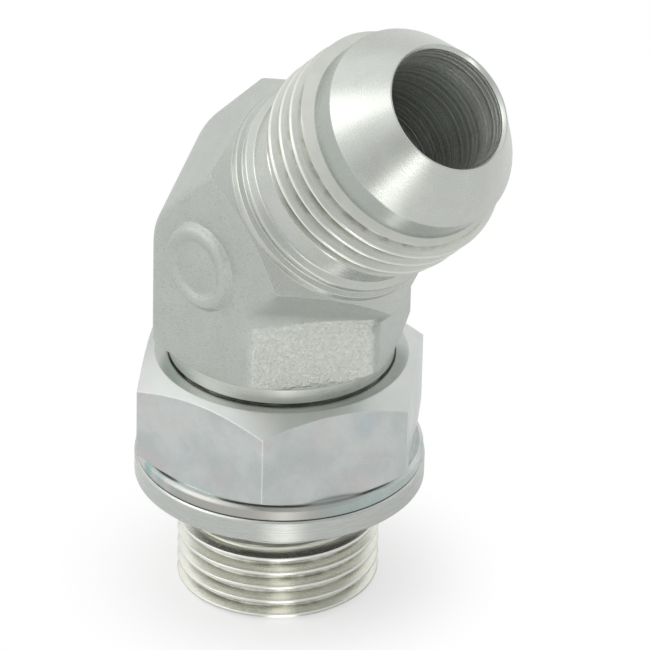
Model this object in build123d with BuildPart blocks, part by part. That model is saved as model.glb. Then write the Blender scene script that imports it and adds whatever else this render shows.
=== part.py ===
from build123d import *
from math import cos, radians, sin, sqrt, tan
import os

# Adjustable 45 degree male stud elbow: flared tube end above, parallel threaded stud below.
# Origin: centre of the stud's end face. +Z runs up the stud, the branch leans towards +X.
# All sizes are in millimetres.

# Elbow layout, measured along the stud and branch centre lines
bend_angle = 45.0
vertex_above_foot = 11.08
bore_diameter = 10.0
drill_point_angle = 118.0
bore_rim_chamfer = 0.3

# Stud: its threads are plain at their outside diameter, parallel pipe thread size 3/8
stud_thread_diameter = 16.662
stud_thread_length = 6.5
stud_end_chamfer = 0.35
undercut_depth = 0.931
undercut_bevel = 0.5
foot_step = 0.869
foot_height = 1.3

# Forged hexagon of the body, 18.9 across flats, turned back at both ends
body_wall_past_foot = 0.25
forging_edge_radius = 0.8
hexagon_chamfer_angle = 30.0
shoulder_step = 0.15
shoulder_distance = 7.6

# Round raised pad on one side of the forging
pad_diameter = 7.4
pad_height = 0.3
pad_draft = 40.0

# Flare end, turned: lengths along the branch from the shoulder to the rim
shoulder_collar_length = 0.65
bead_groove_depth = 0.45
bead_groove_width = 0.3
bead_drop = 0.25
bead_width = 0.35
bead_slope = 0.2
relief_depth = 1.025
relief_slope = 0.4
relief_length = 2.2
flare_thread_bevel = 1.05
flare_thread_diameter = 19.05
flare_thread_length = 5.0
flare_thread_chamfer = 0.8
land_depth = 1.125
land_length = 2.25
flare_angle = 37.0
rim_wall = 0.35

# Locknut: 22 across flats on its 3/8 thread
nut_wall = 2.669
nut_hexagon_height = 8.15
nut_turned_to = 8.4
nut_top_turned_off = 0.6
nut_bottom_left_on = 0.05
nut_chamfer_angle = 30.0
nut_collar_past_flats = 0.77
nut_collar_height = 1.05
nut_collar_chamfer = 0.25
nut_countersink = 0.919
nut_countersink_angle = 45.0
nut_dish_width = 0.75
nut_dish_angle = 15.0

# Retaining ring and O-ring
ring_past_collar = 0.14
ring_thickness = 1.96
ring_height_on_stud = 9.79
ring_web_thickness = 0.5
ring_web_clearance = 0.12
ring_edge_chamfer = 0.15
o_ring_section = 2.2
o_ring_corner = 0.6
o_ring_clearance = 0.05

# Clearances between the pieces
ring_to_nut_clearance = 0.10
nut_to_foot_clearance = 0.15
nut_thread_clearance = 0.05

# How far a cutting shape reaches past the surface it cuts
cutter_overrun = 1.0

# Radii that follow from the sizes above
bore_radius = bore_diameter / 2
stud_radius = stud_thread_diameter / 2
undercut_radius = stud_radius - undercut_depth
foot_radius = stud_radius + foot_step
body_half_width = foot_radius + body_wall_past_foot
body_corner_radius = body_half_width * 2 / sqrt(3)
shoulder_radius = body_half_width - shoulder_step
flare_radius = flare_thread_diameter / 2
relief_radius = flare_radius - relief_depth
land_radius = flare_radius - land_depth
rim_radius = bore_radius + rim_wall
nut_bore_radius = stud_radius + nut_thread_clearance
nut_half_width = stud_radius + nut_wall
nut_corner_radius = nut_half_width * 2 / sqrt(3)
nut_collar_radius = nut_half_width + nut_collar_past_flats
ring_radius = nut_collar_radius + ring_past_collar

# Heights and lengths that follow
flare_length = (land_radius - rim_radius) / tan(radians(flare_angle))
ring_top = ring_height_on_stud + ring_thickness
nut_bottom = ring_top + ring_to_nut_clearance
nut_hexagon_bottom = nut_bottom + nut_collar_height
nut_top = nut_hexagon_bottom + nut_hexagon_height
foot_bottom = nut_top + nut_to_foot_clearance
vertex_height = foot_bottom + vertex_above_foot

# The branch frame: origin where the two bores meet, z along the branch, y across the elbow
vertex = Vector(0, 0, vertex_height)
branch_axis = Vector(sin(radians(bend_angle)), 0, cos(radians(bend_angle)))
inside_of_bend = Vector(cos(radians(bend_angle)), 0, -sin(radians(bend_angle)))
branch_plane = Plane(origin=vertex, x_dir=inside_of_bend, z_dir=branch_axis)
mitre_plane = Plane(
    origin=vertex,
    x_dir=(cos(radians(bend_angle / 2)), 0, -sin(radians(bend_angle / 2))),
    z_dir=(sin(radians(bend_angle / 2)), 0, cos(radians(bend_angle / 2))),
)


def turned(*points):
    """A solid turned about Z from its half profile, given as radius and height."""
    with BuildPart() as lathe:
        with BuildSketch(Plane.XZ):
            Polygon(*points, align=None)
        revolve(axis=Axis.Z)
    return lathe.part


def corner_trim(corner_radius, circle_radius, height, angle, side):
    """What a lathe takes off a hexagon's corners at one end: side is 1 above, -1 below."""
    outer = corner_radius + cutter_overrun
    drop = (outer - circle_radius) * tan(radians(angle))
    return turned(
        (circle_radius, height),
        (outer, height - side * drop),
        (outer, height + side * drop),
        (circle_radius, height + side * drop),
    )


def drilled_bore(mouth, bottom, inward):
    """A drilled bore about Z with a drill point: inward is 1 when drilled upwards, else -1."""
    point = bore_radius / tan(radians(drill_point_angle / 2))
    return turned(
        (0, mouth),
        (bore_radius, mouth),
        (bore_radius, bottom),
        (0, bottom + inward * point),
    )


# Stud end: port thread, undercut for the seal, locknut thread and neck under the foot
locknut_thread_bottom = nut_bottom + undercut_bevel
locknut_thread_top = foot_bottom - 2 * undercut_bevel
stud = turned(
    (0, 0),
    (stud_radius - stud_end_chamfer, 0),
    (stud_radius, stud_end_chamfer),
    (stud_radius, stud_thread_length),
    (undercut_radius, stud_thread_length + undercut_bevel),
    (undercut_radius, locknut_thread_bottom),
    (stud_radius, locknut_thread_bottom + undercut_bevel),
    (stud_radius, locknut_thread_top),
    (undercut_radius, locknut_thread_top + undercut_bevel),
    (undercut_radius, foot_bottom),
    (foot_radius, foot_bottom),
    (foot_radius, foot_bottom + foot_height),
    (0, foot_bottom + foot_height),
)

# Flare end: shoulder with its bead, thread relief, thread, land and 37 degree cone
bead_groove_start = shoulder_distance + shoulder_collar_length + bead_slope
bead_start = bead_groove_start + bead_groove_width + bead_slope
relief_start = bead_start + bead_width + relief_slope
flare_thread_start = relief_start + relief_length + flare_thread_bevel
flare_thread_end = flare_thread_start + flare_thread_length
land_start = flare_thread_end + flare_thread_chamfer
flare_start = land_start + land_length
rim_distance = flare_start + flare_length
flare_end = turned(
    (0, vertex_above_foot / 2),
    (shoulder_radius, vertex_above_foot / 2),
    (shoulder_radius, shoulder_distance + shoulder_collar_length),
    (shoulder_radius - bead_groove_depth, bead_groove_start),
    (shoulder_radius - bead_groove_depth, bead_groove_start + bead_groove_width),
    (shoulder_radius - bead_drop, bead_start),
    (shoulder_radius - bead_drop, bead_start + bead_width),
    (relief_radius, relief_start),
    (relief_radius, relief_start + relief_length),
    (flare_radius, flare_thread_start),
    (flare_radius, flare_thread_end),
    (land_radius, land_start),
    (land_radius, flare_start),
    (rim_radius, rim_distance),
    (0, rim_distance),
)
rim_chamfer = turned(
    (0, rim_distance),
    (bore_radius + bore_rim_chamfer, rim_distance),
    (bore_radius, rim_distance - bore_rim_chamfer),
    (0, rim_distance - bore_rim_chamfer),
)

# Elbow body, one forging: hexagonal column, hexagonal branch and the rounded heel between them
with BuildPart() as column:
    with BuildSketch(Plane.XY.offset(foot_bottom)) as column_section:
        RegularPolygon(radius=body_corner_radius, side_count=6)
        fillet(column_section.vertices(), forging_edge_radius)
    extrude(amount=vertex_above_foot)
    split(bisect_by=mitre_plane, keep=Keep.BOTTOM)
    add(
        corner_trim(body_corner_radius, foot_radius, foot_bottom + foot_height,
                    hexagon_chamfer_angle, -1),
        mode=Mode.SUBTRACT,
    )

with BuildPart() as branch:
    with BuildSketch(branch_plane) as branch_section:
        RegularPolygon(radius=body_corner_radius, side_count=6)
        fillet(branch_section.vertices(), forging_edge_radius)
    extrude(amount=shoulder_distance)
    split(bisect_by=mitre_plane, keep=Keep.TOP)
    with Locations(branch_plane.location):
        add(
            corner_trim(body_corner_radius, shoulder_radius, shoulder_distance,
                        hexagon_chamfer_angle, 1),
            mode=Mode.SUBTRACT,
        )

with BuildPart() as elbow_body:
    add(column.part)
    add(branch.part)
    with BuildSketch(Plane.XY.offset(vertex_height)) as heel_section:
        RegularPolygon(radius=body_corner_radius, side_count=6)
        fillet(heel_section.vertices(), forging_edge_radius)
        split(bisect_by=Plane.YZ, keep=Keep.BOTTOM)
    revolve(axis=Axis(vertex, (0, 1, 0)), revolution_arc=bend_angle)
    with BuildSketch(Plane(origin=(0, -body_half_width, vertex_height), z_dir=(0, -1, 0))):
        Circle(pad_diameter / 2)
    extrude(amount=pad_height, taper=pad_draft)
    add(stud)
    with Locations(branch_plane.location):
        add(flare_end)
    add(drilled_bore(0, vertex_height, 1), mode=Mode.SUBTRACT)
    with Locations(branch_plane.location):
        add(drilled_bore(rim_distance, 0, -1), mode=Mode.SUBTRACT)
        add(rim_chamfer, mode=Mode.SUBTRACT)

# Locknut: hexagon and round collar in one piece, dished on top and countersunk at both ends
countersink_radius = nut_bore_radius + nut_countersink
countersink_depth = nut_countersink * tan(radians(nut_countersink_angle))
dish_depth = nut_dish_width * tan(radians(nut_dish_angle))
with BuildPart() as locknut:
    with BuildSketch(Plane.XY.offset(nut_hexagon_bottom)):
        RegularPolygon(radius=nut_corner_radius, side_count=6, rotation=nut_turned_to)
    extrude(amount=nut_hexagon_height)
    add(
        corner_trim(nut_corner_radius, nut_half_width - nut_top_turned_off, nut_top,
                    nut_chamfer_angle, 1),
        mode=Mode.SUBTRACT,
    )
    add(
        corner_trim(nut_corner_radius, nut_half_width + nut_bottom_left_on, nut_hexagon_bottom,
                    nut_chamfer_angle, -1),
        mode=Mode.SUBTRACT,
    )
    add(
        turned(
            (0, nut_bottom),
            (nut_collar_radius, nut_bottom),
            (nut_collar_radius, nut_hexagon_bottom - nut_collar_chamfer),
            (nut_collar_radius - nut_collar_chamfer, nut_hexagon_bottom),
            (0, nut_hexagon_bottom),
        )
    )
    add(
        turned(
            (0, nut_bottom),
            (countersink_radius, nut_bottom),
            (nut_bore_radius, nut_bottom + countersink_depth),
            (nut_bore_radius, nut_top - dish_depth - countersink_depth),
            (countersink_radius, nut_top - dish_depth),
            (countersink_radius + nut_dish_width, nut_top),
            (0, nut_top),
        ),
        mode=Mode.SUBTRACT,
    )

# Retaining ring: flat washer with a pocket underneath for the O-ring
ring_bottom = ring_height_on_stud
web_bottom = ring_top - ring_web_thickness
web_hole_radius = stud_radius + ring_web_clearance
pocket_radius = undercut_radius + o_ring_section + 2 * o_ring_clearance
with BuildPart() as retaining_ring:
    add(
        turned(
            (pocket_radius, ring_bottom),
            (ring_radius - ring_edge_chamfer, ring_bottom),
            (ring_radius, ring_bottom + ring_edge_chamfer),
            (ring_radius, ring_top - ring_edge_chamfer),
            (ring_radius - ring_edge_chamfer, ring_top),
            (web_hole_radius, ring_top),
            (web_hole_radius, web_bottom),
            (pocket_radius, web_bottom),
        )
    )

# O-ring, on the undercut and up against the ring's web: squeezed, so flat-sided with soft corners
o_ring_centre_radius = undercut_radius + o_ring_clearance + o_ring_section / 2
o_ring_centre_height = web_bottom - o_ring_clearance - o_ring_section / 2
with BuildPart() as o_ring:
    with BuildSketch(Plane.XZ) as o_ring_outline:
        with Locations((o_ring_centre_radius, o_ring_centre_height)):
            Rectangle(o_ring_section, o_ring_section)
        chamfer(o_ring_outline.vertices(), o_ring_corner)
    revolve(axis=Axis.Z)

elbow_body.part.label = "elbow_body"
locknut.part.label = "locknut"
retaining_ring.part.label = "retaining_ring"
o_ring.part.label = "o_ring"

os.makedirs("parts", exist_ok=True)
export_step(elbow_body.part, "parts/elbow_body.step")
export_step(locknut.part, "parts/locknut.step")
export_step(retaining_ring.part, "parts/retaining_ring.step")
export_step(o_ring.part, "parts/o_ring.step")
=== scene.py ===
from math import ceil, cos, floor, pi, radians, sin, sqrt, tan

import bpy
from mathutils import Matrix, Vector


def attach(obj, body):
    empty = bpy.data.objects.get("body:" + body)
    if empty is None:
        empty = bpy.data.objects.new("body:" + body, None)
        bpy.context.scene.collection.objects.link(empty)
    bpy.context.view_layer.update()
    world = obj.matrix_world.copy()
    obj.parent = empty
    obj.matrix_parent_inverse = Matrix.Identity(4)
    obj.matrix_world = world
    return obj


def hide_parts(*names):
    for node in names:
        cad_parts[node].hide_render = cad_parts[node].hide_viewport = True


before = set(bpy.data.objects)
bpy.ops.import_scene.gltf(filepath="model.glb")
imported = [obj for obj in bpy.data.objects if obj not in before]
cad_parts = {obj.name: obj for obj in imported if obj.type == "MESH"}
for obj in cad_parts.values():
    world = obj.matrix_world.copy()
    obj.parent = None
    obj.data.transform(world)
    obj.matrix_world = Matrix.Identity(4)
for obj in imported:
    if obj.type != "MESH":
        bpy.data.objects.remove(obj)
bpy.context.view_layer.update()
print("stage: frame loaded")

mm = 0.001  # the frame is in metres, and every size below is in millimetres
vertex = Vector((0, 0, 32.28))  # where the two bores meet
bend = radians(45)
branchAxis = Vector((sin(bend), 0, cos(bend)))
branchSide = Vector((cos(bend), 0, -sin(bend)))  # towards the inside of the bend
mitreAxis = Vector((sin(bend / 2), 0, cos(bend / 2)))
mitreSide = Vector((cos(bend / 2), 0, -sin(bend / 2)))
cornerSlope = tan(radians(30))  # of the cones turned on the corners of the hexagons
roundSegments = 256  # around a turned surface

# The places of the two ends, with Z along the stud and along the branch
upright = Matrix.Identity(4)
alongBranch = Matrix((
    (branchSide.x, 0, branchAxis.x, vertex.x),
    (0, 1, 0, 0),
    (branchSide.z, 0, branchAxis.z, vertex.z),
    (0, 0, 0, 1),
))


# A socket that takes part in Python expressions
class Wire:
    def __init__(self, shader, socket):
        self.shader = shader
        self.socket = socket

    def isVector(self):
        return self.socket.type in ("VECTOR", "RGBA")

    def __add__(self, other):
        return self.shader.maths("ADD", self, other)

    def __radd__(self, other):
        return self.shader.maths("ADD", other, self)

    def __sub__(self, other):
        return self.shader.maths("SUBTRACT", self, other)

    def __rsub__(self, other):
        return self.shader.maths("SUBTRACT", other, self)

    def __mul__(self, other):
        return self.shader.maths("MULTIPLY", self, other)

    def __rmul__(self, other):
        return self.shader.maths("MULTIPLY", other, self)

    def __truediv__(self, other):
        return self.shader.maths("DIVIDE", self, other)

    def __rtruediv__(self, other):
        return self.shader.maths("DIVIDE", other, self)

    def __abs__(self):
        return self.shader.maths("ABSOLUTE", self)


# A node tree that is filled by expressions on wires
class Shader:
    def __init__(self, tree, material=None):
        self.tree = tree
        self.material = material
        tree.nodes.clear()

    # Any node: its settings go in first, then the values or links of its sockets
    def node(self, kind, settings=None, inputs=None, output=0):
        made = self.tree.nodes.new(kind)
        for name, value in (settings or {}).items():
            setattr(made, name, value)
        for name, value in (inputs or {}).items():
            socket = made.inputs[name]
            if isinstance(value, Wire):
                self.tree.links.new(value.socket, socket)
            elif socket.type == "RGBA":
                socket.default_value = (*value, 1)
            else:
                socket.default_value = value
        return Wire(self, made.outputs[output]) if made.outputs else None

    def maths(self, operation, *values):
        vectors = [
            value.isVector() if isinstance(value, Wire) else isinstance(value, (tuple, Vector))
            for value in values
        ]
        if operation == "MULTIPLY" and any(vectors) and not all(vectors):
            vector, number = values if vectors[0] else values[::-1]
            return self.node("ShaderNodeVectorMath", {"operation": "SCALE"}, {0: vector, "Scale": number})
        kind = "ShaderNodeVectorMath" if any(vectors) else "ShaderNodeMath"
        return self.node(kind, {"operation": operation}, dict(enumerate(values)))

    def dot(self, first, second):
        return self.node("ShaderNodeVectorMath", {"operation": "DOT_PRODUCT"}, {0: first, 1: second}, "Value")

    def length(self, vector):
        return self.node("ShaderNodeVectorMath", {"operation": "LENGTH"}, {0: vector}, "Value")

    # 0 at the low value and 1 at the high one, smooth between
    def fade(self, value, low, high):
        ends = {"Value": value, "From Min": low, "From Max": high}
        return self.node("ShaderNodeMapRange", {"interpolation_type": "SMOOTHSTEP"}, ends)

    def noise(self, vector, scale, detail, roughness):
        sizes = {"Vector": vector, "Scale": scale, "Detail": detail, "Roughness": roughness}
        return self.node("ShaderNodeTexNoise", {"noise_dimensions": "3D"}, sizes)

    # Noise along one line, for turned marks
    def rings(self, spot, scale, detail, roughness):
        sizes = {"W": spot, "Scale": scale, "Detail": detail, "Roughness": roughness}
        return self.node("ShaderNodeTexNoise", {"noise_dimensions": "1D"}, sizes)

    def mix(self, mask, first, second):
        return self.node("ShaderNodeMix", {"data_type": "RGBA"}, {0: mask, 6: first, 7: second}, 2)

    def stretched(self, vector, sizes):
        return self.maths("MULTIPLY", vector, Vector(sizes))

    # The place on the piece in its own coordinates, in millimetres
    def place(self):
        return self.node("ShaderNodeTexCoord", output="Object") * (1 / mm)

    # Distance from the axis, height along it and offset across it, for the stud or the branch
    def turnedPlace(self, branch):
        spot = self.place()
        if branch:
            spot = spot - vertex
            along = self.dot(spot, branchAxis)
            alongEach = self.node("ShaderNodeCombineXYZ", None, {0: along, 1: along, 2: along})
            across = spot - self.maths("MULTIPLY", alongEach, branchAxis)
        else:
            along = self.dot(spot, Vector((0, 0, 1)))
            across = self.stretched(spot, (1, 1, 0))
        return self.length(across), along, across

    def bump(self, height, depth, normal=None):
        inputs = {"Height": height, "Distance": depth * mm, "Strength": 1.0}
        if normal is not None:
            inputs["Normal"] = normal
        return self.node("ShaderNodeBump", None, inputs)

    # Corners rounded for the light only
    def softEdges(self, radius, samples=4):
        return self.node("ShaderNodeBevel", {"samples": samples}, {"Radius": radius * mm})

    # 1 where an edge is close, from how far the rounded corner turns away from the face
    def wornHighlitEdge(self, radius, turn):
        face = self.node("ShaderNodeNewGeometry", output="True Normal")
        return self.fade(1 - self.dot(self.softEdges(radius), face), turn * 0.3, turn)

    # How far a ray counts as one that sees the background, with metal at its own share
    def seesBackground(self, metal):
        camera = self.node("ShaderNodeLightPath", output="Is Camera Ray")
        through = self.node("ShaderNodeLightPath", output="Is Transmission Ray")
        glossy = self.node("ShaderNodeLightPath", output="Is Glossy Ray")
        return camera + through, glossy * metal, glossy

    def finish(self, inputs):
        surface = self.node("ShaderNodeBsdfPrincipled", None, inputs)
        self.node("ShaderNodeOutputMaterial", None, {"Surface": surface})
        return self.material


def newMaterial(name):
    material = bpy.data.materials.new(name)
    material.use_nodes = True
    return Shader(material.node_tree, material)


# A mesh gathered as places and faces in millimetres
class Mesh:
    def __init__(self, materials):
        self.places, self.faces, self.slots = [], [], []
        self.materials = materials

    def spot(self, matrix, radius, height, angle):
        self.places.append(matrix @ Vector((radius * cos(angle), radius * sin(angle), height)))
        return len(self.places) - 1

    def face(self, corners, material):
        self.faces.append(corners)
        self.slots.append(self.materials.index(material))

    def ring(self, matrix, radii, height):
        count = len(radii)
        return [self.spot(matrix, radius, height, 2 * pi * j / count) for j, radius in enumerate(radii)]

    def band(self, low, high, material):
        for j in range(len(low)):
            k = (j + 1) % len(low)
            self.face((low[j], low[k], high[k], high[j]), material)

    # A surface turned about the matrix's Z, with its outside on the right of the outline
    def turn(self, outline, matrix, material, segments=roundSegments):
        rows = [self.ring(matrix, [radius] * segments, height) for radius, height in outline]
        for low, high in zip(rows, rows[1:]):
            self.band(low, high, material)

    def build(self, name, sharpAngle):
        data = bpy.data.meshes.new(name)
        data.from_pydata([place * mm for place in self.places], [], self.faces)
        data.update()
        for material in self.materials:
            data.materials.append(material)
        data.polygons.foreach_set("material_index", self.slots)
        piece = bpy.data.objects.new(name, data)
        bpy.context.scene.collection.objects.link(piece)
        data.polygons.foreach_set("use_smooth", [True] * len(data.polygons))
        data.set_sharp_from_angle(angle=radians(sharpAngle))
        return piece


# A turned outline with each of its corners rounded
def rounded(points, radius, steps=4):
    longestShare = 0.45  # of a side, so that two round corners never meet
    out = [points[0]]
    for before, here, after in zip(points, points[1:], points[2:]):
        a, b, c = Vector(before), Vector(here), Vector(after)
        reach = min(radius, (a - b).length * longestShare, (c - b).length * longestShare)
        start, end = b + (a - b).normalized() * reach, b + (c - b).normalized() * reach
        for i in range(steps + 1):
            t = i / steps
            out.append(tuple(start * (1 - t) ** 2 + b * 2 * t * (1 - t) + end * t * t))
    out.append(points[-1])
    return out


# Depth of a thread, 0 on its crest and 1 in its root, at a share of a turn from the groove's centre
def threadDepth(share, thread):
    away = abs(share - floor(share + 0.5))
    crestEdge = 0.5 - thread["crestShare"] / 2
    flank = thread["depth"] / thread["pitch"] * tan(radians(thread["flankAngle"] / 2))
    depth = (crestEdge - away) / flank
    soft = thread["softness"]
    if depth > 1 - soft:  # smooth into the root
        depth = 1 - soft + soft * (1 - 1 / (1 + (depth - 1 + soft) / soft))
    if depth < soft:  # smooth over the crest
        depth = soft / (1 + (soft - depth) / soft) if depth > -4 * soft else 0.0
    return max(0.0, min(1.0, depth))


# The outside radius of a turned outline at a height
def outlineRadius(outline, height):
    for (r0, z0), (r1, z1) in zip(outline, outline[1:]):
        if z0 <= height <= z1 and z1 > z0:
            return r0 + (r1 - r0) * (height - z0) / (z1 - z0)
    return outline[-1][0]


# A threaded length whose rows follow the helix, held inside a plain outline
def cutThread(mesh, thread, outline, matrix, material, segments=roundSegments):
    low, high, pitch = outline[0][1], outline[-1][1], thread["pitch"]
    rowsPerTurn = 18

    def radiusAt(height, angle):
        share = (height - thread["groove"]) / pitch - angle / (2 * pi)
        cut = thread["radius"] - thread["depth"] * threadDepth(share, thread)
        return min(cut, outlineRadius(outline, height))

    first = floor((low - thread["groove"]) / pitch) - 1
    last = ceil((high - thread["groove"]) / pitch) + 1
    rows = []
    for i in range((last - first) * rowsPerTurn + 1):
        row = []
        for j in range(segments + 1):
            angle = 2 * pi * j / segments
            height = thread["groove"] + pitch * (first + i / rowsPerTurn + angle / (2 * pi))
            held = min(max(height, low), high)
            row.append((radiusAt(held, angle), held, angle))
        rows.append(row)
    known = {}

    def spot(radius, height, angle):
        key = (round(radius, 5), round(height, 5), round(angle % (2 * pi), 6))
        if key not in known:
            known[key] = mesh.spot(matrix, radius, height, angle)
        return known[key]

    for lower, upper in zip(rows, rows[1:]):
        for j in range(segments):
            corners = []
            for radius, height, angle in (lower[j], lower[j + 1], upper[j + 1], upper[j]):
                corner = spot(radius, height, angle)
                if corner not in corners:
                    corners.append(corner)
            if len(corners) > 2:
                mesh.face(tuple(corners), material)
    return [radiusAt(low, 2 * pi * j / segments) for j in range(segments)]


# The stud end: port thread, undercut, locknut thread and foot, as radii and heights
stud = dict(
    boreRadius=5.0, endChamfer=0.35, threadTop=6.5, undercutRadius=7.4, undercutStart=7.0,
    locknutThread=(12.35, 12.85, 20.2, 20.7), footRadius=9.2, footBottom=21.2, footTop=22.5,
    edge=0.08, hiddenSegments=128,
)
pipeThread = dict(
    radius=8.331, pitch=25.4 / 19, depth=0.856, crestShare=1 / 6, flankAngle=55, groove=0.10, softness=0.12,
)

# The flare end: shoulder, bead, relief, thread, land and cone, as distances from the vertex
flare = dict(
    boreRadius=5.0, shoulderRadius=9.3, shoulder=(7.6, 8.25), beadGrooveRadius=8.85,
    beadGroove=(8.45, 8.75), beadRadius=9.05, bead=(8.95, 9.30), reliefRadius=8.5, reliefStart=9.70,
    reliefEnd=11.9, threadStart=12.95, threadEnd=17.95, landRadius=8.4, landStart=18.75, coneStart=21.0,
    rimRadius=5.35, rim=25.05, rimWidth=0.25, rimChamfer=0.3, lip=0.6, edge=0.10,
)
flareThread = dict(
    radius=9.525, pitch=25.4 / 16, depth=0.974, crestShare=1 / 8, flankAngle=60, groove=10.17, softness=0.12,
)

# Finish of the forged hexagon
platedForging = dict(
    colour=(0.50, 0.525, 0.495), dark=(0.40, 0.425, 0.40), pale=(0.60, 0.62, 0.585),
    speck=(0.76, 0.78, 0.74), shade=(0.30, 0.32, 0.30), metallic=0.92, roughness=0.44,
    mottleSize=0.35, grainSize=5.0, grainDepth=0.10, pitSize=11.0, edge=0.12,
    creaseReach=(1.6, 3.2), creaseSide=(2.0, 4.0), creaseRadius=2.2,
)
roughPatch = dict(
    facing=-30.0, face=(9.25, 9.4), low=23.0, high=28.6, halfWidth=5.1, wobble=0.7, wobbleSize=1.1,
    colour=(0.80, 0.81, 0.765), crystal=(0.92, 0.94, 0.90), shade=(0.45, 0.46, 0.43),
    crystalSize=3.6, crystalDepth=0.17,
)


# 1 on the rough patch of the flat under the branch
def patchMask(s, p):
    facing = radians(roughPatch["facing"])
    flat = Vector((cos(facing), sin(facing), 0))
    wobble = (s.noise(p, roughPatch["wobbleSize"], 2, 0.5) - 0.5) * roughPatch["wobble"]
    up = s.dot(p, Vector((0, 0, 1))) + wobble
    aside = abs(s.dot(p, Vector((-flat.y, flat.x, 0)))) + wobble
    low, high, half = roughPatch["low"], roughPatch["high"], roughPatch["halfWidth"]
    return (
        s.fade(s.dot(p, flat), *roughPatch["face"])
        * s.fade(up, low - 0.25, low + 0.1)
        * (1 - s.fade(up, high - 0.3, high + 0.3))
        * (1 - s.fade(aside, half - 0.3, half + 0.1))
    )


# 1 along the crease inside the bend, which is soft, as forged
def creaseMask(s, p):
    fromVertex = p - vertex
    away = abs(s.dot(fromVertex, mitreAxis))
    inside = s.fade(s.dot(fromVertex, mitreSide), *platedForging["creaseSide"])
    return (1 - s.fade(away, *platedForging["creaseReach"])) * inside


def forgingMaterial():
    s = newMaterial("platedForging")
    p = s.place()
    mottle = s.noise(p, platedForging["mottleSize"], 3, 0.6)
    grain = s.noise(p, platedForging["grainSize"], 4, 0.65)
    pits = s.noise(p, platedForging["pitSize"], 2, 0.5)
    rough = patchMask(s, p)
    crystals = s.noise(p, roughPatch["crystalSize"], 4, 0.78)
    colour = s.mix(mottle, platedForging["dark"], platedForging["pale"])
    colour = s.mix(0.55, colour, platedForging["colour"])
    colour = s.mix(s.fade(pits, 0.60, 0.72) * 0.4, colour, platedForging["speck"])
    colour = s.mix(s.fade(grain, 0.47, 0.36) * 0.38, colour, platedForging["shade"])
    colour = s.mix(rough * 0.7, colour, roughPatch["colour"])
    colour = s.mix(rough * s.fade(crystals, 0.48, 0.68) * 0.8, colour, roughPatch["crystal"])
    colour = s.mix(rough * s.fade(crystals, 0.46, 0.34) * 0.35, colour, roughPatch["shade"])
    crease = s.softEdges(platedForging["creaseRadius"], 8)
    edges = s.mix(creaseMask(s, p), s.softEdges(platedForging["edge"]), crease)
    normal = s.bump(grain * 0.6 + pits * 0.4, platedForging["grainDepth"], edges)
    normal = s.bump(crystals * rough, roughPatch["crystalDepth"], normal)
    return s.finish({
        "Base Color": colour,
        "Metallic": platedForging["metallic"],
        "Roughness": platedForging["roughness"] + (grain - 0.5) * 0.16 - rough * 0.14,
        "Normal": normal,
    })


# Finish of the lathe-turned surfaces: cones, threads, lands and the foot
platedTurned = dict(
    # the land colour is painted shade on the band between the thread and the cone
    # the root colour is painted shade in the thread roots and the crest colour a painted highlight on the
    # crests
    land=(0.40, 0.43, 0.40), dust=(0.80, 0.82, 0.78), rootShade=(0.27, 0.26, 0.21), crest=(0.86, 0.88, 0.83),
    metallic=0.95, markSize=9.0, markSlope=0.8, cloudSize=0.5, dustSize=7.0, dustDepth=0.004, edge=0.06,
    rootShadeReach=(0.85, 0.35), crestHighlightReach=(0.10, 0.03), runOutRoughness=0.30,
)
turnedParts = dict(
    turnedFlare=dict(
        branch=True, colour=(0.56, 0.58, 0.545), dark=(0.42, 0.44, 0.41), roughness=0.27, markDepth=0.006,
    ),
    turnedFoot=dict(
        branch=False, colour=(0.66, 0.68, 0.635), dark=(0.42, 0.44, 0.41), roughness=0.30, markDepth=0.008,
    ),
    # the undercut's plating, painted lighter against the shade in the undercut
    turnedNeckPaintedLight=dict(
        branch=False, colour=(0.80, 0.80, 0.75), dark=(0.50, 0.47, 0.42), roughness=0.50, markDepth=0.020,
    ),
    threadFlare=dict(
        branch=True, colour=(0.66, 0.675, 0.63), dark=(0.44, 0.46, 0.42), roughness=0.24, markDepth=0.008,
        crest=flareThread["radius"], lastCrest=flare["threadEnd"],
    ),
    # the stud thread's plating, painted lighter to stand for the brighter light on the stud
    threadStudPaintedLight=dict(
        branch=False, colour=(0.80, 0.80, 0.73), dark=(0.50, 0.51, 0.46), roughness=0.26, markDepth=0.010,
        crest=pipeThread["radius"], lastCrest=stud["threadTop"] - 0.1,
    ),
)
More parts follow.
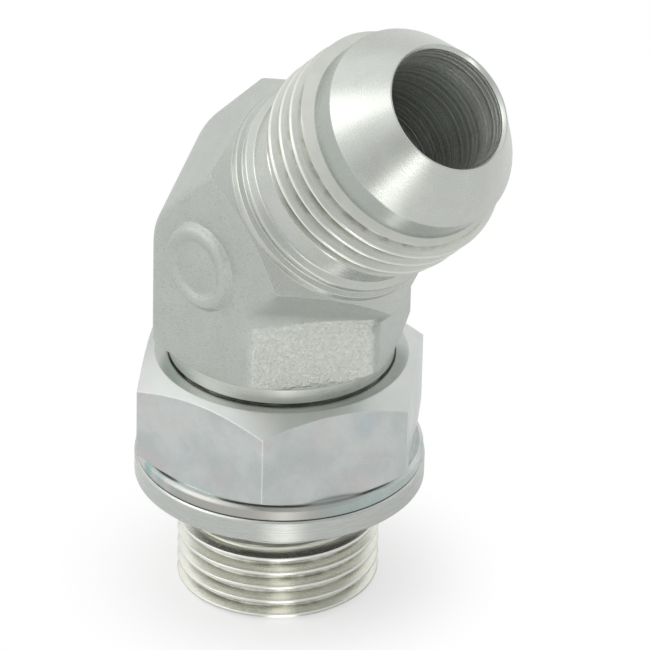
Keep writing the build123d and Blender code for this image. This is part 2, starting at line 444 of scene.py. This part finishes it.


# On a thread, crest is its outside radius and lastCrest its end; its roots get painted shade and its crests a
# painted highlight
def turnedMaterial(name, branch, colour, dark, roughness, markDepth, crest=None, lastCrest=None):
    s = newMaterial(name)
    p = s.place()
    radius, along, _ = s.turnedPlace(branch)
    track = along - radius * platedTurned["markSlope"]
    marks = s.rings(track, platedTurned["markSize"], 3, 0.65)
    fine = s.rings(track, platedTurned["markSize"] * 5, 2, 0.6)
    cloud = s.noise(p, platedTurned["cloudSize"], 3, 0.6)
    dust = s.noise(p, platedTurned["dustSize"], 2, 0.5)
    tone = s.mix(s.fade(cloud, 0.30, 0.70) * 0.5 + s.fade(marks, 0.35, 0.65) * 0.5, dark, colour)
    tone = s.mix(0.6, tone, colour)
    if branch:
        start, end = flare["landStart"], flare["coneStart"]
        # the land band is painted darker: painted shade
        land = s.fade(along, start - 0.05, start + 0.03) * (1 - s.fade(along, end - 0.03, end + 0.03))
        tone = s.mix(land * 0.9, tone, platedTurned["land"])
    tone = s.mix(s.fade(dust, 0.62, 0.74) * 0.3, tone, platedTurned["dust"])
    gloss = roughness + (cloud - 0.5) * 0.14 + (marks - 0.5) * 0.10
    edges = None if crest else s.softEdges(platedTurned["edge"])
    if crest:
        deep, shallow = platedTurned["rootShadeReach"]
        below, above = platedTurned["crestHighlightReach"]
        beforeEnd = 1 - s.fade(along, lastCrest - 0.1, lastCrest)
        rootShade = (1 - s.fade(radius, crest - deep, crest - shallow)) * beforeEnd
        # painted shade in the thread roots, patchy, and a painted highlight on the crests
        tone = s.mix(rootShade * (0.25 + s.fade(cloud, 0.42, 0.60) * 0.55), tone, platedTurned["rootShade"])
        tone = s.mix(s.fade(radius, crest - below, crest - above) * 0.6, tone, platedTurned["crest"])
        runOut = s.fade(along, lastCrest, lastCrest + 0.15)
        gloss = gloss + runOut * platedTurned["runOutRoughness"]
    normal = s.bump(marks * 0.7 + fine * 0.3, markDepth, edges)
    return s.finish({
        "Base Color": tone,
        "Metallic": platedTurned["metallic"],
        "Roughness": gloss,
        "Normal": s.bump(dust, platedTurned["dustDepth"], normal),
    })


# Finish of the drilled bores
drilledBore = dict(
    dark=(0.52, 0.545, 0.51), pale=(0.84, 0.86, 0.82), speck=(0.85, 0.87, 0.83), metallic=0.9,
    roughness=0.40, markSize=2.6, markDepth=0.11, streakSize=1.4, speckSize=5.5, speckDepth=0.02, edge=0.05,
)


def boreMaterial():
    s = newMaterial("drilledBore")
    _, along, across = s.turnedPlace(True)
    marks = s.rings(along, drilledBore["markSize"], 5, 0.75)
    streak = s.noise(s.stretched(across, (1.2, 1.2, 1.2)), drilledBore["streakSize"], 3, 0.6)
    specks = s.noise(s.place(), drilledBore["speckSize"], 3, 0.7)
    tone = s.mix(s.fade(marks, 0.35, 0.65), drilledBore["dark"], drilledBore["pale"])
    tone = s.mix(s.fade(specks, 0.58, 0.70) * 0.5, tone, drilledBore["speck"])
    normal = s.bump(marks + streak * 0.3, drilledBore["markDepth"], s.softEdges(drilledBore["edge"]))
    return s.finish({
        "Base Color": tone,
        "Metallic": drilledBore["metallic"],
        "Roughness": drilledBore["roughness"] + (specks - 0.5) * 0.3,
        "Normal": s.bump(specks, drilledBore["speckDepth"], normal),
    })


finish = {name: turnedMaterial(name, **values) for name, values in turnedParts.items()}
finish["forging"] = forgingMaterial()
finish["bore"] = boreMaterial()
print("stage: elbow materials made")

# The pad on the flat that faces -Y: its rim as radius and height above the flat
sidePad = dict(
    flat=-9.45, rim=[(3.80, -0.02), (3.35, 0.55), (2.75, 0.55), (2.20, 0.30), (2.05, 0.27)], edge=0.25,
)
onSide = Matrix(((1, 0, 0, 0), (0, 0, -1, sidePad["flat"]), (0, 1, 0, vertex.z), (0, 0, 0, 1)))
close = 0.01  # what still counts as lying on a surface
lap = (0.05, 0.03)  # how far a turned end reaches past the edge of its cone


def distanceFromAxis(place):
    return sqrt(place.x ** 2 + place.y ** 2)


# Which material a face of the CAD body has, or None on the turned ends, which are made anew
def forgedFinish(here):
    onBranch = [alongBranch.inverted() @ place for place in here]
    studRadii = [distanceFromAxis(place) for place in here]
    flareRadii = [distanceFromAxis(place) for place in onBranch]
    pastVertex = stud["boreRadius"] + 0.5  # the drill points end before this
    lowest, highest = min(place.z for place in onBranch), max(place.z for place in here)
    inStudBore = max(studRadii) < stud["boreRadius"] + close and highest < vertex.z + pastVertex
    inFlareBore = max(flareRadii) < flare["boreRadius"] + close and lowest > -pastVertex
    if inStudBore or inFlareBore:
        return finish["bore"]
    if highest < stud["footTop"] + close or lowest > flare["shoulder"][0] - close:
        return None
    fromFootCone = [
        abs(place.z - stud["footTop"] - (radius - stud["footRadius"]) * cornerSlope)
        for place, radius in zip(here, studRadii)
    ]
    fromShoulderCone = [
        abs(flare["shoulder"][0] - place.z - (radius - flare["shoulderRadius"]) * cornerSlope)
        for place, radius in zip(onBranch, flareRadii)
    ]
    if max(fromFootCone) < 3 * close:
        return finish["turnedFoot"]
    if max(fromShoulderCone) < 3 * close:
        return finish["turnedFlare"]
    return finish["forging"]


# The forged middle of the elbow is the CAD body without its two turned ends
def addForging(mesh):
    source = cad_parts["elbow_body"].data
    known, index = {}, []
    for corner in source.vertices:
        place = corner.co / mm
        key = tuple(round(value, 3) for value in place)
        if key not in known:
            mesh.places.append(place)
            known[key] = len(mesh.places) - 1
        index.append(known[key])
    for polygon in source.polygons:
        corners = tuple(dict.fromkeys(index[corner] for corner in polygon.vertices))
        if len(corners) < 3:
            continue
        material = forgedFinish([mesh.places[corner] for corner in corners])
        if material:
            mesh.face(corners, material)


# End face, port thread, undercut, locknut thread, neck and foot
def addStudEnd(mesh):
    edge, threadRadius, undercut = stud["edge"], pipeThread["radius"], stud["undercutRadius"]
    envelope = [
        (threadRadius - stud["endChamfer"], 0.0), (threadRadius, stud["endChamfer"]),
        (threadRadius, stud["threadTop"]), (undercut, stud["undercutStart"]),
    ]
    rim = cutThread(mesh, pipeThread, rounded(envelope, edge), upright, finish["threadStudPaintedLight"])
    inner = mesh.ring(upright, [stud["boreRadius"]] * len(rim), 0)
    mesh.band(inner, mesh.ring(upright, rim, 0), finish["turnedFoot"])
    low, full, top, end = stud["locknutThread"]
    neck = [(undercut, stud["undercutStart"]), (undercut, low)]
    mesh.turn(rounded(neck, edge), upright, finish["turnedNeckPaintedLight"])
    upper = [(undercut, low), (threadRadius, full), (threadRadius, top), (undercut, end)]
    cutThread(mesh, pipeThread, upper, upright, finish["threadStudPaintedLight"], stud["hiddenSegments"])
    foot = [
        (undercut, end), (undercut, stud["footBottom"]), (stud["footRadius"], stud["footBottom"]),
        (stud["footRadius"], stud["footTop"]), (stud["footRadius"] + lap[0], stud["footTop"] + lap[1]),
    ]
    mesh.turn(rounded(foot, edge), upright, finish["turnedFoot"])


# Shoulder, bead, relief, thread, land, cone and rim
def addFlareEnd(mesh):
    edge, thread, bore = flare["edge"], flareThread["radius"], flare["boreRadius"]
    shoulder = [
        (flare["shoulderRadius"] + lap[0], flare["shoulder"][0] - lap[1]),
        (flare["shoulderRadius"], flare["shoulder"][0]), (flare["shoulderRadius"], flare["shoulder"][1]),
        (flare["beadGrooveRadius"], flare["beadGroove"][0]),
        (flare["beadGrooveRadius"], flare["beadGroove"][1]),
        (flare["beadRadius"], flare["bead"][0]), (flare["beadRadius"], flare["bead"][1]),
        (flare["reliefRadius"], flare["reliefStart"]), (flare["reliefRadius"], flare["reliefEnd"]),
    ]
    mesh.turn(rounded(shoulder, edge), alongBranch, finish["turnedFlare"])
    envelope = [
        (flare["reliefRadius"], flare["reliefEnd"]), (thread, flare["threadStart"]),
        (thread, flare["threadEnd"]), (flare["landRadius"], flare["landStart"]),
    ]
    cutThread(mesh, flareThread, rounded(envelope, edge), alongBranch, finish["threadFlare"])
    nose = [
        (flare["landRadius"], flare["landStart"]), (flare["landRadius"], flare["coneStart"]),
        (flare["rimRadius"], flare["rim"]), (bore + flare["rimWidth"], flare["rim"]),
        (bore, flare["rim"] - flare["rimChamfer"]), (bore, flare["rim"] - flare["lip"]),
    ]
    mesh.turn(rounded(nose, edge), alongBranch, finish["turnedFlare"])


def makeElbow():
    mesh = Mesh(list(finish.values()))
    addForging(mesh)
    addStudEnd(mesh)
    addFlareEnd(mesh)
    mesh.turn(rounded(sidePad["rim"], sidePad["edge"]), onSide, finish["forging"])
    piece = mesh.build("elbowBody", sharpAngle=14)
    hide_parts("elbow_body")
    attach(piece, "elbow")


makeElbow()
print("stage: elbow made")

# Finish of the locknut, with the sizes that its coloured parts follow
platedNut = dict(
    colour=(0.485, 0.52, 0.51), pale=(0.575, 0.60, 0.585), pink=(0.56, 0.51, 0.52), blue=(0.45, 0.51, 0.54),
    # the chamfer colour is a painted highlight on the top chamfer
    # the seat colour is painted shade on the flat top around the body's foot
    # the worn colour lightens the edges: partly wear, partly a painted highlight
    dust=(0.80, 0.82, 0.80), chamfer=(0.66, 0.68, 0.65), seatShade=(0.36, 0.40, 0.35), wornAndHighlit=(0.78, 0.80, 0.77),
    teal=(0.17, 0.34, 0.31), tan=(0.42, 0.36, 0.33), metallic=0.95, roughness=0.30,
    hexagonBottom=12.9, top=21.05, topCircle=10.4, mouth=9.3, mouthReach=0.1, mouthDepth=0.4, dip=0.03,
    edge=0.15, wornHighlightReach=0.16, wornHighlightTurn=0.06, cloudSize=0.22, tintSize=0.30, tintShift=(31, 7, 3),
    scratchSize=1.6, scratchStretch=(0.5, 0.5, 7.0), drawnSize=1.2, drawnStretch=(4.0, 4.0, 0.25),
    scratchDepth=0.010, dustSize=8.0, dustDepth=0.005, collarPatchSize=0.25, collarPatchStretch=(1, 1, 0.2),
    tealFacing=(-0.80, -0.60, 0), tealReach=(6.0, 11.0), tanFacing=(0.5, -0.87, 0), tanReach=(8.0, 11.5),
)


def nutMaterial():
    s = newMaterial("platedNut")
    p = s.place()
    radius, along, _ = s.turnedPlace(False)
    cloud = s.noise(p, platedNut["cloudSize"], 3, 0.6)
    tint = s.noise(p + Vector(platedNut["tintShift"]), platedNut["tintSize"], 3, 0.6)
    scratches = s.noise(s.stretched(p, platedNut["scratchStretch"]), platedNut["scratchSize"], 4, 0.7)
    drawn = s.noise(s.stretched(p, platedNut["drawnStretch"]), platedNut["drawnSize"], 3, 0.6)
    dust = s.noise(p, platedNut["dustSize"], 2, 0.5)
    tone = s.mix(s.fade(cloud, 0.35, 0.65), platedNut["colour"], platedNut["pale"])
    tone = s.mix(s.fade(tint, 0.50, 0.70) * 0.45, tone, platedNut["pink"])
    tone = s.mix(s.fade(tint, 0.48, 0.30) * 0.45, tone, platedNut["blue"])
    tone = s.mix(s.fade(dust, 0.60, 0.74) * 0.3, tone, platedNut["dust"])
    top, circle = platedNut["top"], platedNut["topCircle"]
    # the top chamfer is painted lighter: painted highlight
    chamfer = s.fade(along - top + (radius - circle) * cornerSlope, -0.10, -0.02)
    tone = s.mix(chamfer * 0.6, tone, platedNut["chamfer"])
    # the flat top inside the chamfer is painted darker: painted shade under the body's foot
    seatShade = s.fade(radius, circle + 0.02, circle - 0.04) * s.fade(along, top - 0.15, top - 0.05)
    tone = s.mix(seatShade * 0.3, tone, platedNut["seatShade"])
    # lighter along the edges: partly wear and partly a painted highlight
    wornAndHighlit = s.wornHighlitEdge(platedNut["wornHighlightReach"], platedNut["wornHighlightTurn"])
    tone = s.mix(wornAndHighlit * 0.55, tone, platedNut["wornAndHighlit"])
    # the collar's colour: teal in patches, strongest to the left, and tan in front
    collar = s.fade(along, platedNut["hexagonBottom"] + 0.02, platedNut["hexagonBottom"] - 0.02)
    patches = s.noise(s.stretched(p, platedNut["collarPatchStretch"]), platedNut["collarPatchSize"], 2, 0.5)
    collarPatchMask = s.fade(patches, 0.42, 0.6)
    leftward = s.fade(s.dot(p, Vector(platedNut["tealFacing"])), *platedNut["tealReach"])
    frontward = s.fade(s.dot(p, Vector(platedNut["tanFacing"])), *platedNut["tanReach"])
    tone = s.mix(collar * (0.35 + leftward * 0.65) * collarPatchMask, tone, platedNut["teal"])
    tone = s.mix(collar * frontward * 0.6, tone, platedNut["tan"])
    height = scratches * 0.4 + drawn * 0.6
    normal = s.bump(height, platedNut["scratchDepth"], s.softEdges(platedNut["edge"]))
    return s.finish({
        "Base Color": tone,
        "Metallic": platedNut["metallic"],
        "Roughness": platedNut["roughness"] + (scratches - 0.5) * 0.16 + chamfer * 0.08,
        "Normal": s.bump(dust, platedNut["dustDepth"], normal),
    })


# The nut's top is nearly flat up to its countersink, and only the countersink's mouth is open
def makeNut():
    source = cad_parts["locknut"]
    data = source.data.copy()
    for corner in data.vertices:
        place = corner.co / mm
        atMouth = abs(distanceFromAxis(place) - platedNut["mouth"]) < platedNut["mouthReach"]
        if atMouth and place.z > platedNut["top"] - platedNut["mouthDepth"]:
            corner.co.z = (platedNut["top"] - platedNut["dip"]) * mm
    piece = bpy.data.objects.new("locknutPlated", data)
    bpy.context.scene.collection.objects.link(piece)
    piece.matrix_world = source.matrix_world.copy()
    data.materials.clear()
    data.materials.append(nutMaterial())
    data.polygons.foreach_set("material_index", [0] * len(data.polygons))
    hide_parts("locknut")
    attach(piece, "locknut")


# Finish of the retaining ring
platedRing = dict(
    colour=(0.56, 0.58, 0.55), dark=(0.40, 0.42, 0.40), metallic=0.95, roughness=0.26,
    markSize=7.0, markSlope=1.3, fineSize=40.0, markDepth=0.012, edge=0.10,
    aroundSize=1.0, aroundStretch=(0.6, 0.6, 6.0), cloudSize=0.4,
)


def ringMaterial():
    s = newMaterial("platedRing")
    p = s.place()
    radius, along, _ = s.turnedPlace(False)
    track = along * platedRing["markSlope"] - radius
    marks = s.rings(track, platedRing["markSize"], 4, 0.7)
    fine = s.rings(track, platedRing["fineSize"], 2, 0.6)
    around = s.noise(s.stretched(p, platedRing["aroundStretch"]), platedRing["aroundSize"], 4, 0.7)
    cloud = s.noise(p, platedRing["cloudSize"], 3, 0.6)
    streaks = s.fade(marks * 0.5 + around * 0.5, 0.38, 0.62)
    tone = s.mix(streaks, platedRing["dark"], platedRing["colour"])
    tone = s.mix(0.45, tone, platedRing["colour"])
    height = marks * 0.5 + fine * 0.2 + around * 0.3
    return s.finish({
        "Base Color": tone,
        "Metallic": platedRing["metallic"],
        "Roughness": platedRing["roughness"] + (cloud - 0.5) * 0.14,
        "Normal": s.bump(height, platedRing["markDepth"], s.softEdges(platedRing["edge"])),
    })


# Finish of the seal
sealRubber = dict(
    colour=(0.018, 0.018, 0.019), bloom=(0.06, 0.06, 0.062), roughness=0.48,
    cloudSize=0.8, skinSize=9.0, skinDepth=0.01,
)


def rubberMaterial():
    s = newMaterial("sealRubber")
    p = s.place()
    cloud = s.noise(p, sealRubber["cloudSize"], 3, 0.6)
    skin = s.noise(p, sealRubber["skinSize"], 3, 0.6)
    return s.finish({
        "Base Color": s.mix(s.fade(cloud, 0.4, 0.75) * 0.5, sealRubber["colour"], sealRubber["bloom"]),
        "Roughness": sealRubber["roughness"] + (skin - 0.5) * 0.2,
        "Normal": s.bump(skin, sealRubber["skinDepth"]),
    })


def dress(node, material):
    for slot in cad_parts[node].material_slots:
        slot.material = material


makeNut()
dress("retaining_ring", ringMaterial())
dress("o_ring", rubberMaterial())
print("stage: nut, ring and seal dressed")

# Floor and surroundings: a pale tent, brighter in the directions left and back
studio = dict(
    tent=0.60, left=(-0.6275, -0.5265, 0.5736), leftGlow=0.70, leftReach=(0.35, 0.85),
    back=(-0.0755, 0.8627, 0.5), backGlow=0.43, backReach=(0.5, 0.9), metalShare=0.3,
)
paleFloor = dict(
    size=3.0, colour=(0.88, 0.88, 0.88), grain=(0.86, 0.86, 0.86), grainSize=0.05,
    lift=0.60, shadowReach=(8.5, 20.0), mirrorReach=(14.0, 45.0),
    # the strip values place a painted glow on the floor, seen only in the metal's reflections
    paintedStripAngle=-42.0, paintedStripWidth=13.0, paintedStripGlow=(1.7, 1.7, 1.66),
)
lamps = dict(
    softboxLeft=dict(place=(-0.35, -0.55, 0.55), target=(0, 0, 0.03), size=(0.5, 0.5), power=0.9),
    stripFront=dict(place=(0.20, -0.18, 0.012), target=(0, 0, 0.035), size=(0.10, 0.018), power=0.02),
)


def floorMaterial():
    s = newMaterial("paleFloor")
    p = s.place()
    distance = s.length(p)
    grain = s.noise(p, paleFloor["grainSize"], 2, 0.5)
    colour = s.mix(grain * 0.1, paleFloor["colour"], paleFloor["grain"])
    matt = s.node("ShaderNodeBsdfDiffuse", None, {"Color": colour})
    seen, mirrored, glossy = s.seesBackground(studio["metalShare"])
    far = s.fade(distance, *paleFloor["shadowReach"])
    plain = seen * (paleFloor["lift"] + far * (1 - paleFloor["lift"]))
    plain = plain + mirrored * s.fade(distance, *paleFloor["mirrorReach"])
    # a painted glow on the floor in the front strip's direction, seen only in the metal: a painted reflection
    # of the strip lamp
    ahead = radians(paleFloor["paintedStripAngle"])
    along = s.dot(p, Vector((cos(ahead), sin(ahead), 0))) / distance
    paintedStrip = glossy * s.fade(along, cos(radians(paleFloor["paintedStripWidth"])), 1.0)
    paintedGlow = s.mix(paintedStrip, (1, 1, 1), paleFloor["paintedStripGlow"])
    white = s.node("ShaderNodeEmission", None, {"Color": paintedGlow, "Strength": 1.0})
    both = s.node("ShaderNodeMixShader", None, {0: plain + paintedStrip, 1: matt, 2: white})
    s.node("ShaderNodeOutputMaterial", None, {"Surface": both})
    return s.material


def makeFloor():
    half = paleFloor["size"] / 2
    data = bpy.data.meshes.new("floor")
    corners = [(-half, -half, 0), (half, -half, 0), (half, half, 0), (-half, half, 0)]
    data.from_pydata(corners, [], [(0, 1, 2, 3)])
    floor = bpy.data.objects.new("floor", data)
    bpy.context.scene.collection.objects.link(floor)
    data.materials.append(floorMaterial())


def makeWorld():
    world = bpy.data.worlds.new("studio")
    bpy.context.scene.world = world
    world.use_nodes = True
    s = Shader(world.node_tree)
    way = s.node("ShaderNodeTexCoord", output="Generated")
    left = s.fade(s.dot(way, Vector(studio["left"])), *studio["leftReach"])
    back = s.fade(s.dot(way, Vector(studio["back"])), *studio["backReach"])
    tent = studio["tent"] + left * studio["leftGlow"] + back * studio["backGlow"]
    seen, mirrored, _ = s.seesBackground(studio["metalShare"])
    strength = tent + (seen + mirrored) * (1 - tent)
    sky = s.node("ShaderNodeBackground", None, {"Color": (1, 1, 1), "Strength": strength})
    s.node("ShaderNodeOutputWorld", None, {"Surface": sky})


def makeLamp(name, place, target, size, power):
    data = bpy.data.lights.new(name, "AREA")
    data.shape = "RECTANGLE"
    data.size, data.size_y = size
    data.energy = power
    lamp = bpy.data.objects.new(name, data)
    bpy.context.scene.collection.objects.link(lamp)
    lamp.location = place
    lamp.rotation_euler = (Vector(target) - Vector(place)).to_track_quat("-Z", "Y").to_euler()


makeFloor()
makeWorld()
for name, values in lamps.items():
    makeLamp(name, **values)
print("stage: floor and lights made")

# The camera: a long lens, above and to the right of the front
view = dict(
    place=(0.3135744, -0.3182056, 0.2766139), aim=(0.0020824, 0.0028578, 0.0230337), roll=1.3513,
    lens=350.488, sensor=36, clipStart=0.05,
)


def makeCamera():
    data = bpy.data.cameras.new("camera")
    camera = bpy.data.objects.new("camera", data)
    bpy.context.scene.collection.objects.link(camera)
    place, aim = Vector(view["place"]), Vector(view["aim"])
    turn = (aim - place).to_track_quat("-Z", "Y").to_matrix().to_4x4()
    roll = Matrix.Rotation(radians(view["roll"]), 4, "Z")
    camera.matrix_world = Matrix.Translation(place) @ turn @ roll
    data.sensor_width = view["sensor"]
    data.sensor_fit = "HORIZONTAL"
    data.lens = view["lens"]
    data.clip_start = view["clipStart"]
    data.dof.use_dof = False
    bpy.context.scene.camera = camera


makeCamera()
bpy.context.scene.view_settings.view_transform = "Standard"
print("stage: camera set")
